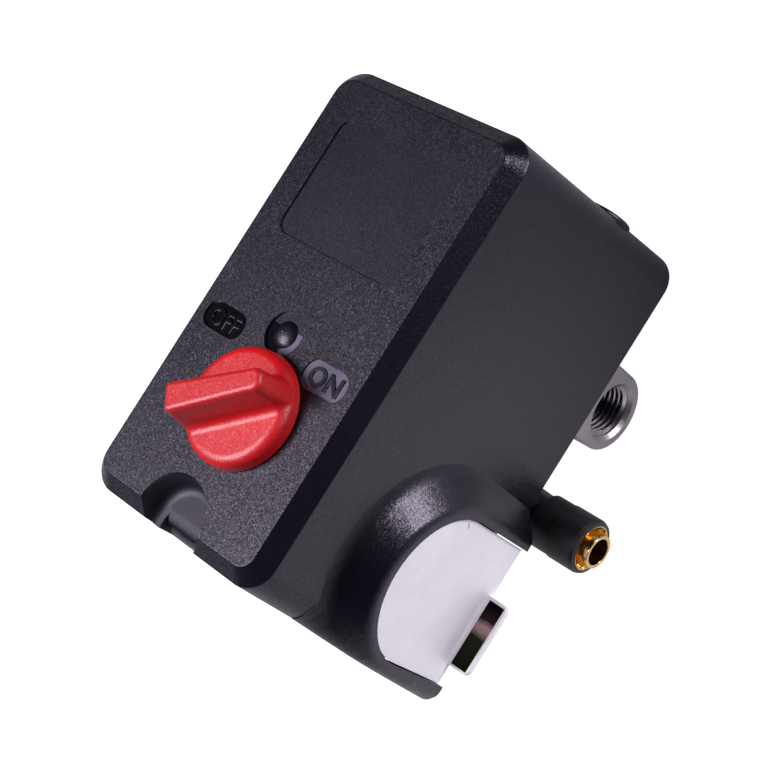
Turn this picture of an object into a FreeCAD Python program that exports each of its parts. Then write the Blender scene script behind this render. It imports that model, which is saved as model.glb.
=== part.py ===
import FreeCAD, Part
import os, math
from FreeCAD import Vector as V

# Pressure switch for an air compressor. Millimetres, +Z up.
# Everything is laid out in the cover's own centre lines (X across, Y along the cover) and then moved
# by -INLET_Y, so that the origin is the centre of the tank inlet's mouth, on the underside.

# ---------------------------------------------------------------- driving dimensions
Z_TOP = 97.0            # flat face of the cover above the tank inlet's mouth
COVER_H = 69.0          # cover height, face to rim
COVER_L = 107.0         # length at the foot of the bevel (Y)
COVER_W = 57.2          # width at the foot of the bevel (X)
BEVEL = 3.56            # bevel round the face, inset and depth
DRAFT_X = 2.0           # side wall draft, per side, over the wall's height
DRAFT_Y = 4.0           # end wall draft, per side
CORNER_R = 7.25         # vertical corner radius
WALL = 2.4              # cover wall
HOOD_Y, HOOD_Z = -34.6, 49.9      # centre of the hood's arch
HOOD_R = 17.95          # opening radius of the hood
BOSS_Y = 56.7           # end of the two rear screw bosses, proud of the drafted wall
HOOD_X = 36.0           # outer face of the hood
KNOB_X, KNOB_Y = 2.8, -22.9       # knob axis
KNOB_R = 13.45
KNOB_TURN = 36.0        # grip direction at rest, degrees from +X
INLET_Y = 21.3          # centre line of the manifold
PORT_Z = 18.8           # axis height of the side ports
PORT_X = 30.0           # side port faces
PORT_BOSS_R = 9.7
PORT_R = 6.5            # wall of the 1/4 inch pipe thread
PORT_DEPTH = 13.0
SHEET = 1.5             # frame sheet
PLATE_Z = 29.5          # underside of the frame's base plate
DPLATE_X = 35.3         # outer face of the D-shaped flange
PIVOT_Y, PIVOT_Z = 47.0, 37.0     # lever pivot pin
LEVER_Z = 41.0          # underside of the lever
FIT_Y, FIT_Z = -8.2, 19.3         # axis of the push-in tube fitting
FIT_R = 6.8
FIT_X0, FIT_X1 = 30.0, 44.7
COLLET_X = 46.7
PIN_X = 22.0            # unloader pin

RIM_Z = Z_TOP - COVER_H
BEV_Z = Z_TOP - BEVEL
PLATE_T = PLATE_Z + SHEET
WALL_H = COVER_H - BEVEL

os.makedirs("parts", exist_ok=True)


# ---------------------------------------------------------------- helpers
def box(x0, x1, y0, y1, z0, z1):
    return Part.makeBox(x1 - x0, y1 - y0, z1 - z0, V(x0, y0, z0))


def cyl(r, p, d, h):
    return Part.makeCylinder(r, h, V(*p), V(*d))


def cyl_z(r, x, y, z0, z1):
    return Part.makeCylinder(r, z1 - z0, V(x, y, z0), V(0, 0, 1))


def cyl_x(r, y, z, x0, x1):
    return Part.makeCylinder(r, x1 - x0, V(x0, y, z), V(1, 0, 0))


def cyl_y(r, x, z, y0, y1):
    return Part.makeCylinder(r, y1 - y0, V(x, y0, z), V(0, 1, 0))


def cone_x(r0, r1, y, z, x0, x1):
    return Part.makeCone(r0, r1, x1 - x0, V(x0, y, z), V(1, 0, 0))


def cone_z(r0, r1, x, y, z0, z1):
    return Part.makeCone(r0, r1, z1 - z0, V(x, y, z0), V(0, 0, 1))


def fuse(*s):
    r = s[0]
    for t in s[1:]:
        r = r.fuse(t)
    return r.removeSplitter()


def cut(a, *s):
    for t in s:
        a = a.cut(t)
    return a


def rrect(w, l, r, z, cx=0.0, cy=0.0):
    """Closed wire: rounded rectangle, width w along X and length l along Y, at height z."""
    a, b = w / 2.0, l / 2.0
    k = r * (1 - math.sqrt(0.5))
    P = lambda x, y: V(cx + x, cy + y, z)
    e = []
    e.append(Part.LineSegment(P(a, -b + r), P(a, b - r)).toShape())
    e.append(Part.Arc(P(a, b - r), P(a - k, b - k), P(a - r, b)).toShape())
    e.append(Part.LineSegment(P(a - r, b), P(-a + r, b)).toShape())
    e.append(Part.Arc(P(-a + r, b), P(-a + k, b - k), P(-a, b - r)).toShape())
    e.append(Part.LineSegment(P(-a, b - r), P(-a, -b + r)).toShape())
    e.append(Part.Arc(P(-a, -b + r), P(-a + k, -b + k), P(-a + r, -b)).toShape())
    e.append(Part.LineSegment(P(-a + r, -b), P(a - r, -b)).toShape())
    e.append(Part.Arc(P(a - r, -b), P(a - k, -b + k), P(a, -b + r)).toShape())
    return Part.Wire(e)


def rblock(w, l, r, z0, z1, cx=0.0, cy=0.0):
    return Part.Face(rrect(w, l, r, z0, cx, cy)).extrude(V(0, 0, z1 - z0))


def loft(*w):
    return Part.makeLoft(list(w), True, True)


def poly(pts):
    return Part.Face(Part.makePolygon([V(*p) for p in pts] + [V(*pts[0])]))


def group(*s):
    return Part.makeCompound(list(s))


def soft(shape, edges, r):
    """Round the given edges, or leave them sharp where the kernel can't."""
    try:
        s = shape.makeFillet(r, edges)
        if s.isValid() and s.Volume > 0.5 * shape.Volume:
            return s
    except Exception:
        pass
    return shape


def edges_where(shape, test):
    out = []
    for e in shape.Edges:
        try:
            if test(e, e.BoundBox, e.CenterOfMass):
                out.append(e)
        except Exception:
            pass
    return out


def arch(r, x0, x1, z_low, side=1, y0=HOOD_Y, z0=HOOD_Z):
    """Arch-shaped prism: half disc on top, straight sides down to z_low, from x0 to x1 outward."""
    a = V(0, y0 - r, z_low)
    b = V(0, y0 - r, z0)
    c = V(0, y0, z0 + r)
    d = V(0, y0 + r, z0)
    e = V(0, y0 + r, z_low)
    w = Part.Wire([Part.LineSegment(a, b).toShape(), Part.Arc(b, c, d).toShape(),
                   Part.LineSegment(d, e).toShape(), Part.LineSegment(e, a).toShape()])
    f = Part.Face(w)
    f.translate(V(side * x0, 0, 0))
    return f.extrude(V(side * (x1 - x0), 0, 0))


def hex_z(af, x, y, z0, z1, turn=0.0):
    r = af / math.sqrt(3.0)
    pts = [(x + r * math.cos(math.radians(60 * i + turn)), y + r * math.sin(math.radians(60 * i + turn)), z0)
           for i in range(6)]
    return poly(pts).extrude(V(0, 0, z1 - z0))


NODES = {}


def save(name, shape):
    s = shape.copy()
    s.translate(V(0, -INLET_Y, 0))
    if s.ShapeType == "Compound" and len(s.Solids) == 1:
        s = s.Solids[0]
    for i, q in enumerate(s.Solids):
        if not q.isValid() or q.Volume <= 0:
            print("CHECK", name, i, q.isValid(), q.Volume)
    print("%-22s solids %d  vol %.1f mm3  box %s" % (
        name, len(s.Solids), s.Volume,
        [round(v, 2) for v in (s.BoundBox.XMin, s.BoundBox.XMax, s.BoundBox.YMin, s.BoundBox.YMax,
                               s.BoundBox.ZMin, s.BoundBox.ZMax)]))
    s.exportStep("parts/%s.step" % name)
    NODES[name] = s


# ---------------------------------------------------------------- cover
def cover_body(grow_x=0.0, inset=0.0, z_low=RIM_Z):
    """Drafted box with a bevelled face. inset shrinks it for the cavity; grow_x widens it."""
    def at(z):                          # wall size at height z
        t = (BEV_Z - z) / WALL_H
        return (COVER_W + 2 * DRAFT_X * t - 2 * inset + grow_x, COVER_L + 2 * DRAFT_Y * t - 2 * inset)
    r = max(CORNER_R - inset, 0.8)
    zb = BEV_Z - inset * 0.35
    zt = Z_TOP - inset
    w0, l0 = at(z_low)
    w1, l1 = at(zb)
    a = loft(rrect(w0, l0, r, z_low), rrect(w1, l1, r, zb))
    d = BEVEL - inset * 0.65
    b = loft(rrect(w1, l1, r, zb), rrect(w1 - 2 * d, l1 - 2 * d, max(r - d, 0.6), zt))
    return a.fuse(b).removeSplitter()


def hood_profile(r_in):
    """Half section (r, x) of the hood's flare: face, lip, sloping band and the sweep into the wall."""
    rs, xs, re_, xe = 31.5, 28.9, 19.2, HOOD_X
    R1, R2 = 8.4, 3.0
    lo, hi = math.radians(20), math.radians(60)
    for _ in range(60):
        m = (lo + hi) / 2
        L = ((rs - re_) - (R1 + R2) * math.sin(m)) / math.cos(m)
        if (R1 + R2) * (1 - math.cos(m)) + L * math.sin(m) < (xe - xs):
            lo = m
        else:
            hi = m
    a = lo
    p1 = (rs, xs)
    p1m = (rs - R1 * math.sin(a / 2), xs + R1 * (1 - math.cos(a / 2)))
    p2 = (rs - R1 * math.sin(a), xs + R1 * (1 - math.cos(a)))
    p3 = (re_ + R2 * math.sin(a), xe - R2 * (1 - math.cos(a)))
    p3m = (re_ + R2 * math.sin(a / 2), xe - R2 * (1 - math.cos(a / 2)))
    p4 = (re_, xe)
    p5 = (r_in + 0.4, xe)
    p6 = (r_in, xe - 0.4)
    return p1, p1m, p2, p3, p3m, p4, p5, p6


def hood_reach(r, p1, p2, p3, p4, R1, R2):
    """How far out (x) the flare's skin is at radius r from its arch axis."""
    if r >= p1[0]:
        return p1[1]
    if r >= p2[0]:
        return p1[1] + R1 - math.sqrt(R1 * R1 - (p1[0] - r) ** 2)
    if r >= p3[0]:
        return p2[1] + (p3[1] - p2[1]) * (p2[0] - r) / (p2[0] - p3[0])
    if r >= p4[0]:
        return p4[1] - R2 + math.sqrt(max(R2 * R2 - (r - p4[0]) ** 2, 0.0))
    return p4[1]


def hood_corner():
    """Waste outside the round that joins the +X flare to the cover's end wall, rolled along their meeting line."""
    p1, p1m, p2, p3, p3m, p4, p5, p6 = hood_profile(HOOD_R)
    polys, circs = [], []
    for z in (RIM_Z - 1.0, 40.0, 50.0, 53.0, 56.0, 59.0, 62.0, 65.0, 68.0, 71.0, 74.0, 77.0, 80.0, 84.0):
        t = min(max((z - 50.0) / 27.0, 0.0), 1.0)
        rf = 3.1 + (7.2 - 3.1) * t * t * (3 - 2 * t)
        end = -(COVER_L / 2 + DRAFT_Y * (BEV_Z - z) / WALL_H)
        wall = COVER_W / 2 + DRAFT_X * (BEV_Z - z) / WALL_H
        cy = end + rf
        skin = []
        for k in range(181):
            y = end + 0.12 * k
            r = math.hypot(y - HOOD_Y, max(z - HOOD_Z, 0.0))
            skin.append((max(hood_reach(r, p1, p2, p3, p4, 8.4, 3.0) if r < p1[0] else wall, wall), y))
        lo, hi = 10.0, 40.0
        for _ in range(40):
            cx = (lo + hi) / 2
            if min(math.hypot(x - cx, y - cy) for x, y in skin) > rf and skin[0][0] > cx:
                lo = cx
            else:
                hi = cx
        near = min(skin, key=lambda q: math.hypot(q[0] - cx, q[1] - cy))
        n = V(near[0] - cx, min(near[1] - cy, 0.0), 0).normalize()
        c = V(cx, cy, z)
        q = [c, c + V(0, -14, 0), c + V(16, -14, 0), c + n * 16]
        polys.append(Part.makePolygon(q + [q[0]]))
        circs.append(Part.Wire([Part.makeCircle(rf, c, V(0, 0, 1))]))
    return Part.makeLoft(polys, True, True).cut(Part.makeLoft(circs, True, True))


def hood_solid(side):
    """Solid flare on one side wall, before its opening is cut."""
    p1, p1m, p2, p3, p3m, p4, p5, p6 = hood_profile(HOOD_R)
    x_in = 24.0

    def wire(sgn):
        # section in the plane z = HOOD_Z, sgn = direction of r along Y
        q = lambda p: V(side * p[1], HOOD_Y + sgn * p[0], HOOD_Z)
        c = (0.0, x_in)
        f = (p1[0], x_in)
        o = (0.0, HOOD_X)
        return Part.Wire([
            Part.LineSegment(q(c), q(f)).toShape(), Part.LineSegment(q(f), q(p1)).toShape(),
            Part.Arc(q(p1), q(p1m), q(p2)).toShape(), Part.LineSegment(q(p2), q(p3)).toShape(),
            Part.Arc(q(p3), q(p3m), q(p4)).toShape(), Part.LineSegment(q(p4), q(o)).toShape(),
            Part.LineSegment(q(o), q(c)).toShape()])

    fp = Part.Face(wire(1))
    axis_p, axis_d = V(0, HOOD_Y, HOOD_Z), V(1, 0, 0)
    top = fp.revolve(axis_p, axis_d, 180.0)
    if top.BoundBox.ZMax < HOOD_Z + 5:          # turned the wrong way round
        top = fp.revolve(axis_p, axis_d, -180.0)
    low = (RIM_Z - HOOD_Z)
    a = Part.Face(wire(1)).extrude(V(0, 0, low))
    b = Part.Face(wire(-1)).extrude(V(0, 0, low))
    s = top.fuse(a).fuse(b)
    # the end wall of the cover trims the flare, and the corner sweeps out with it
    s = s.common(cover_body(grow_x=30.0))
    corner = hood_corner()
    if side < 0:
        corner = corner.mirror(V(0, 0, 0), V(1, 0, 0))
    return s.cut(corner).removeSplitter().Solids[0]


def hood_cavity(side):
    """Room inside the flare, one wall thickness in from its skin."""
    pts = [(0.0, 20.0), (28.0, 20.0), (28.0, 27.4), (25.0, 27.9), (HOOD_R + 1.2, 33.2), (0.0, 33.2)]

    def wire(sgn):
        q = lambda p: V(side * p[1], HOOD_Y + sgn * p[0], HOOD_Z)
        return Part.makePolygon([q(p) for p in pts] + [q(pts[0])])

    fp = Part.Face(wire(1))
    axis_p, axis_d = V(0, HOOD_Y, HOOD_Z), V(1, 0, 0)
    top = fp.revolve(axis_p, axis_d, 180.0)
    if top.BoundBox.ZMax < HOOD_Z + 5:
        top = fp.revolve(axis_p, axis_d, -180.0)
    low = (RIM_Z - 2.0 - HOOD_Z)
    a = Part.Face(wire(1)).extrude(V(0, 0, low))
    b = Part.Face(wire(-1)).extrude(V(0, 0, low))
    s = top.fuse(a).fuse(b)
    lim = cover_body(grow_x=30.0, inset=WALL, z_low=RIM_Z - 1.0)
    return s.common(lim)


def notch_cutter(g=0.0):
    """Half-round pocket at the front edge of the face, running out through the end wall."""
    depth = 6.0 + g
    y0 = -49.94
    zf = Z_TOP - depth
    up = Z_TOP + 1.0
    rt, rb = 9.6 + g, 8.0 + g
    slope = (rt - rb) / 6.0
    c = Part.makeCone(rb, rt + slope * (up - Z_TOP) if g == 0 else rt, up - zf, V(0, y0, zf), V(0, 0, 1))
    w = poly([(-rb, y0, zf), (rb, y0, zf), (rt + slope, y0, up), (-rt - slope, y0, up)]).extrude(V(0, -8, 0))
    s = c.fuse(w)
    if g == 0:
        s = s.removeSplitter()
        low_e = edges_where(s, lambda e, b, c: b.ZMax < zf + 0.01 and b.YMin > y0 - 8.0 - 0.01 and b.YMax > y0 - 7.9)
        s = soft(s, low_e, 2.4)
        print("notch foot", len(low_e), len(s.Faces))
        R = 5.0
        ye = -53.8                       # outer skin of the end wall here
        low = box(-rb, rb, ye - 4, ye + R, zf - R, zf).cut(
            Part.makeCylinder(R, 4 * rb, V(-2 * rb, ye + R, zf - R), V(1, 0, 0)))
        s = s.fuse(low)
        s = s.removeSplitter()
    else:
        s = s.fuse(box(-rb, rb, -60, y0, zf - 7.0, zf))
    return s


shell = cover_body()
ee = edges_where(shell, lambda e, b, c: b.ZMax > BEV_Z - 0.05)
shell = soft(shell, ee, 0.45)
for side in (1, -1):
    shell = shell.fuse(hood_solid(side))
for sx in (1, -1):
    boss = cyl_y(6.45, sx * 20.0, 49.6, 50.0, BOSS_Y)
    boss = soft(boss, [e for e in boss.Edges if abs(e.CenterOfMass.y - BOSS_Y) < 0.01], 0.8)
    shell = shell.fuse(boss)
shell = shell.removeSplitter()
shell = shell.Solids[0] if len(shell.Solids) == 1 else shell

cavity = cover_body(inset=WALL, z_low=RIM_Z - 1.0)
cavity = cavity.cut(notch_cutter(g=2.2))
cavity = cavity.cut(cyl_z(7.4, KNOB_X, KNOB_Y, 88.5, Z_TOP))
cavity = cavity.cut(cyl_z(5.6, 0, -5.2, 92.5, Z_TOP))
shell = shell.cut(cavity)
for side in (1, -1):
    shell = shell.cut(hood_cavity(side))
    shell = shell.cut(arch(HOOD_R, 26.0, 40.0, RIM_Z - 2.0, side))
shell = shell.cut(notch_cutter())
shell = shell.cut(cyl_z(5.2, KNOB_X, KNOB_Y, 80.0, Z_TOP + 1))
# label recess and the two legend recesses
shell = shell.cut(rblock(36.1, 28.3, 3.0, Z_TOP - 0.45, Z_TOP + 1, -0.15, 27.45))
shell = shell.cut(rblock(12.5, 6.3, 2.9, Z_TOP - 0.5, Z_TOP + 1, -16.4, -9.1))
shell = shell.cut(rblock(12.6, 6.6, 2.9, Z_TOP - 0.5, Z_TOP + 1, 16.0, -9.3))
# dome in its round recess
shell = shell.cut(cyl_z(5.0, 0, -5.2, Z_TOP - 0.7, Z_TOP + 1))
dome_r, dome_h = 3.1, 1.2
sr = (dome_r ** 2 + dome_h ** 2) / (2 * dome_h)
dome = Part.makeSphere(sr, V(0, -5.2, Z_TOP - 0.7 + dome_h - sr)).common(
    cyl_z(dome_r + 0.5, 0, -5.2, Z_TOP - 0.8, Z_TOP + 2))
shell = shell.Solids[0].fuse(dome)
# screw holes in the two bosses
for sx in (1, -1):
    shell = shell.cut(cyl_y(2.3, sx * 20.0, 49.6, 48.0, 60.0))
    shell = shell.cut(cyl_y(4.4, sx * 20.0, 49.6, BOSS_Y - 1.8, 60.0))
shell = shell.removeSplitter()
if len(shell.Solids) > 1:
    print("cover pieces", [round(q.Volume, 1) for q in shell.Solids])
    shell = max(shell.Solids, key=lambda q: q.Volume)
save("cover", shell)

# cover screws: pan heads in the bosses, shanks in the frame's rear flange
scr = []
for sx in (1, -1):
    h = cyl_y(4.0, sx * 20.0, 49.6, BOSS_Y - 1.8, BOSS_Y + 0.4)
    h = soft(h, [e for e in h.Edges if abs(e.CenterOfMass.y - BOSS_Y - 0.4) < 0.01], 0.8)
    s = cyl_y(2.0, sx * 20.0, 49.6, 47.0, BOSS_Y - 1.8)
    h = h.fuse(s)
    slot = box(sx * 20.0 - 3.0, sx * 20.0 + 3.0, BOSS_Y - 0.5, BOSS_Y + 1.0, 49.6 - 0.5, 49.6 + 0.5)
    slot2 = box(sx * 20.0 - 0.5, sx * 20.0 + 0.5, BOSS_Y - 0.5, BOSS_Y + 1.0, 49.6 - 3.0, 49.6 + 3.0)
    scr.append(h.cut(slot).cut(slot2))
save("cover_screws", group(*scr))

# ---------------------------------------------------------------- sheet-steel frame
def d_outline(side):
    return arch(17.65, DPLATE_X - SHEET, DPLATE_X, PLATE_Z, side)


frame_s = rblock(55.2, 107.6, 4.0, PLATE_Z, PLATE_T)
for side in (1, -1):
    x0, x1 = (27.0, DPLATE_X) if side > 0 else (-DPLATE_X, -27.0)
    frame_s = frame_s.fuse(box(x0, x1, HOOD_Y - 17.65, HOOD_Y + 17.65, PLATE_Z, PLATE_T))
    frame_s = frame_s.fuse(d_outline(side))
# ear below the D-shaped flange
ear = box(DPLATE_X - 1.0, 41.3, -47.4, -29.5, PLATE_Z, PLATE_T)
ear = soft(ear, [e for e in ear.Edges if abs(e.CenterOfMass.x - 41.3) < 0.01 and e.BoundBox.ZLength > 1], 1.6)
frame_s = frame_s.fuse(ear)
# rear flange for the cover screws
frame_s = frame_s.fuse(box(-22.5, 22.5, 51.3, 52.8, PLATE_Z, 57.0))
# pivot ears
for sx in (1, -1):
    xa, xb = (16.0, 17.5) if sx > 0 else (-17.5, -16.0)
    frame_s = frame_s.fuse(box(xa, xb, 41.5, 52.0, PLATE_Z, 42.0))
frame_s = frame_s.removeSplitter()
frame_s = frame_s.cut(cyl_x(2.0, PIVOT_Y, PIVOT_Z, -20, 20))
frame_s = frame_s.cut(cyl_z(12.1, 0, INLET_Y, 25, 35))
for sx in (1, -1):
    for sy in (1, -1):
        frame_s = frame_s.cut(cyl_z(2.5, sx * 18.0, INLET_Y + sy * 18.0, 25, 35))
    frame_s = frame_s.cut(cyl_y(2.0, sx * 20.0, 49.6, 45, 56))
frame_s = frame_s.cut(cyl_z(1.9, PIN_X, FIT_Y, 25, 35))
for yy in (-12.0, -4.4):
    frame_s = frame_s.cut(cyl_z(1.5, 17.0, yy, 25, 35))
frame_s = frame_s.cut(cyl_z(2.0, -20.0, -8.0, 25, 35))
for yy in (-18.5, -46.5):
    frame_s = frame_s.cut(cyl_z(1.5, 0.0, yy, 25, 35))
BUSH = [(-34.6 - 8.9, 45.0), (-34.6 + 8.9, 45.0)]
for yy, zz in BUSH:
    frame_s = frame_s.cut(cyl_x(6.2, yy, zz, -40, -30))

# ---------------------------------------------------------------- manifold
man = rblock(46.0, 46.0, 4.0, 23.5, 28.0, 0, INLET_Y)
man = man.fuse(cyl_z(13.2, 0, INLET_Y, 7.5, 24.0))
for (sx, sy) in ((1, 0), (-1, 0), (0, 1)):
    if sx:
        x0, x1 = (0, PORT_X) if sx > 0 else (-PORT_X, 0)
        b = cyl_x(PORT_BOSS_R, INLET_Y, PORT_Z, x0, x1).common(box(-40, 40, -40, 80, 0, PORT_Z)).fuse(
            box(x0, x1, INLET_Y - PORT_BOSS_R, INLET_Y + PORT_BOSS_R, PORT_Z, 27.7))
    else:
        b = cyl_y(PORT_BOSS_R, 0, PORT_Z, INLET_Y, INLET_Y + PORT_X).common(box(-40, 40, -40, 80, 0, PORT_Z)).fuse(
            box(-PORT_BOSS_R, PORT_BOSS_R, INLET_Y, INLET_Y + PORT_X, PORT_Z, 27.7))
    man = man.fuse(b)
man = man.removeSplitter()
ends = edges_where(man, lambda e, b, c: (abs(abs(c.x) - PORT_X) < 0.01 and b.XLength < 0.01)
                   or (abs(c.y - INLET_Y - PORT_X) < 0.01 and b.YLength < 0.01))
man = soft(man, ends, 0.6)
hexb = hex_z(21.0, 0, INLET_Y, 0.0, 9.0, 30.0)
hexb = hexb.common(cone_z(10.9, 24.0, 0, INLET_Y, 0.0, 9.0))
man = man.fuse(hexb).removeSplitter()
# passages
man = man.cut(cyl_z(PORT_R, 0, INLET_Y, -1, 11.0))
man = man.cut(cyl_z(3.0, 0, INLET_Y, 5, 27))
man = man.cut(cone_z(13.5, 17.0, 0, INLET_Y, 26.2, 28.0).fuse(cyl_z(17.0, 0, INLET_Y, 28.0, 29)))
for (sx, sy) in ((1, 0), (-1, 0), (0, 1)):
    if sx:
        xa, xb = (PORT_X - PORT_DEPTH, PORT_X + 1) if sx > 0 else (-PORT_X - 1, -PORT_X + PORT_DEPTH)
        man = man.cut(cyl_x(PORT_R, INLET_Y, PORT_Z, xa, xb))
        xa, xb = (0, PORT_X - 2) if sx > 0 else (-PORT_X + 2, 0)
        man = man.cut(cyl_x(3.0, INLET_Y, PORT_Z, xa, xb))
        if sx > 0:
            man = man.cut(cone_x(PORT_R - 0.3, 7.4, INLET_Y, PORT_Z, PORT_X - 1.2, PORT_X))
        else:
            man = man.cut(cone_x(7.4, PORT_R - 0.3, INLET_Y, PORT_Z, -PORT_X, -PORT_X + 1.2))
    else:
        ye = INLET_Y + PORT_X
        man = man.cut(cyl_y(PORT_R, 0, PORT_Z, ye - PORT_DEPTH, ye + 1))
        man = man.cut(cyl_y(3.0, 0, PORT_Z, INLET_Y, ye - 2))
        man = man.cut(Part.makeCone(PORT_R - 0.3, 7.4, 1.2, V(0, ye - 1.2, PORT_Z), V(0, 1, 0)))
for sx in (1, -1):
    for sy in (1, -1):
        man = man.cut(cyl_z(2.5, sx * 18.0, INLET_Y + sy * 18.0, 20, 30))
save("pressure_manifold", man)

dia = rblock(46.0, 46.0, 4.0, 28.0, PLATE_Z, 0, INLET_Y)
for sx in (1, -1):
    for sy in (1, -1):
        dia = dia.cut(cyl_z(2.5, sx * 18.0, INLET_Y + sy * 18.0, 20, 30))
save("diaphragm", dia)

fs = []
for sx in (1, -1):
    for sy in (1, -1):
        x, y = sx * 18.0, INLET_Y + sy * 18.0
        h = hex_z(8.0, x, y, 20.0, 23.5).common(cone_z(3.9, 7.4, x, y, 20.0, 23.5))
        fs.append(h.fuse(cyl_z(2.5, x, y, 23.5, 34.0)).removeSplitter())
save("flange_screws", group(*fs))

# piston under the lever
pis = cyl_z(11.7, 0, INLET_Y, 29.8, 32.8)
pis = soft(pis, [e for e in pis.Edges if abs(e.CenterOfMass.z - 32.8) < 0.01], 0.6)
stem = cyl_z(4.0, 0, INLET_Y, 32.0, LEVER_Z - 0.3)
stem = soft(stem, [e for e in stem.Edges if abs(e.CenterOfMass.z - LEVER_Z + 0.3) < 0.01], 2.2)
save("piston", pis.fuse(stem).removeSplitter())

# ---------------------------------------------------------------- lever
lev = box(-14, 14, -16, 50.0, LEVER_Z, LEVER_Z + 2)
lev = lev.fuse(box(-6, 6, -43, -10, LEVER_Z, LEVER_Z + 2))
lev = lev.fuse(box(5, 14, -28, -18, LEVER_Z, LEVER_Z + 2))
lev = lev.fuse(box(12, 14, -28, -18, LEVER_Z, 60.0))
lev = lev.fuse(box(7.6, 14, -28, -18, 58.0, 60.0))
lev = lev.fuse(box(10, 25, -12.2, -4.2, LEVER_Z, LEVER_Z + 2))
for sx in (1, -1):
    xa, xb = (12.0, 14.0) if sx > 0 else (-14.0, -12.0)
    lev = lev.fuse(box(xa, xb, 43.0, 50.0, 33.5, LEVER_Z + 1))
lev = lev.removeSplitter()
lev = lev.cut(cyl_x(2.05, PIVOT_Y, PIVOT_Z, -20, 20))
for yy in (-24.0, -40.0):
    lev = lev.cut(cyl_z(1.5, 0, yy, 38, 45))
save("main_lever", lev)

pp = cyl_x(2.0, PIVOT_Y, PIVOT_Z, -20.0, 20.0)
for sx in (1, -1):
    c = 18.1 * sx
    ring = cyl_x(3.0, PIVOT_Y, PIVOT_Z, c - 0.4, c + 0.4).cut(cyl_x(1.6, PIVOT_Y, PIVOT_Z, c - 1, c + 1))
    pp = pp.cut(ring)
save("pivot_pin", pp)
cl = []
for sx in (1, -1):
    c = 18.1 * sx
    r = cyl_x(3.6, PIVOT_Y, PIVOT_Z, c - 0.35, c + 0.35).cut(cyl_x(1.65, PIVOT_Y, PIVOT_Z, c - 1, c + 1))
    r = r.cut(box(c - 1, c + 1, PIVOT_Y - 1.2, PIVOT_Y + 1.2, PIVOT_Z, PIVOT_Z + 5))
    cl.append(r)
save("pivot_clips", group(*cl))

# spring seat on the lever, coil spring, nut plate, screw and bridge
seat = cyl_z(11.0, 0, INLET_Y, LEVER_Z + 2, LEVER_Z + 3.2).fuse(
    cyl_z(11.0, 0, INLET_Y, LEVER_Z + 2, LEVER_Z + 5.0).cut(cyl_z(10.1, 0, INLET_Y, LEVER_Z + 2, LEVER_Z + 6)))
save("spring_seat", seat.removeSplitter())

SP_R, SP_W, SP_Z0, SP_Z1, SP_P = 8.4, 1.3, LEVER_Z + 3.2 + 1.3 + 0.2, 64.7, 4.1
helix = Part.makeHelix(SP_P, SP_Z1 - SP_Z0, SP_R)
prof = Part.Wire([Part.Circle(V(SP_R, 0, 0), V(0, 1, 0), SP_W).toShape()])
spring = Part.Wire(helix.Edges).makePipeShell([prof], True, True)
spring.translate(V(0, INLET_Y, SP_Z0))
spring = spring.Solids[0] if spring.Solids else Part.makeSolid(spring)
save("range_spring", spring)

# spring plate, pressed down by the tip of the range screw, which is tapped through the bridge
nut = rblock(36.0, 16.0, 1.5, 66.3, 68.3, 0, INLET_Y)
nut = nut.fuse(cyl_z(6.6, 0, INLET_Y, 63.8, 66.3))
save("spring_plate", nut.removeSplitter())

rs = cyl_z(4.0, 0, INLET_Y, 68.4, 82.0)
rs = soft(rs, [e for e in rs.Edges if abs(e.CenterOfMass.z - 68.4) < 0.01], 0.8)
hd = hex_z(13.0, 0, INLET_Y, 82.0, 87.0).common(cone_z(10.0, 6.2, 0, INLET_Y, 82.0, 87.0))
hd = hd.cut(box(-7, 7, INLET_Y - 0.6, INLET_Y + 0.6, 85.6, 88))
save("range_screw", rs.fuse(hd).removeSplitter())

br = box(-22.0, 22.0, INLET_Y - 9, INLET_Y + 9, 76.7, 78.7)
for sx in (1, -1):
    xa, xb = (20.0, 22.0) if sx > 0 else (-22.0, -20.0)
    br = br.fuse(box(xa, xb, INLET_Y - 9, INLET_Y + 9, PLATE_T, 78.7))
    xa, xb = (20.0, 27.0) if sx > 0 else (-27.0, -20.0)
    br = br.fuse(box(xa, xb, INLET_Y - 9, INLET_Y + 9, PLATE_T, PLATE_T + 2))
br = br.removeSplitter()
br = soft(br, edges_where(br, lambda e, b, c: abs(c.z - 78.7) < 0.01 and abs(abs(c.x) - 22.0) < 0.01), 1.5)
br = br.cut(cyl_z(4.05, 0, INLET_Y, 70, 82))
for sx in (1, -1):
    for sy in (1, -1):
        br = br.cut(cyl_z(1.25, sx * 24.6, INLET_Y + sy * 5.5, 28, 36))
save("spring_bridge", br)

# screws that tap into the sheet: the frame gets their holes
bs = []
for sx in (1, -1):
    for sy in (1, -1):
        x, y = sx * 24.6, INLET_Y + sy * 5.5
        h = cyl_z(2.2, x, y, PLATE_T + 2, PLATE_T + 3.6)
        h = soft(h, [e for e in h.Edges if abs(e.CenterOfMass.z - PLATE_T - 3.6) < 0.01], 0.5)
        bs.append(h.fuse(cyl_z(1.25, x, y, PLATE_Z + 0.1, PLATE_T + 2)).removeSplitter())
        frame_s = frame_s.cut(cyl_z(1.25, x, y, 28, 34))
save("bridge_screws", group(*bs))
save("base_frame", frame_s)

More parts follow.
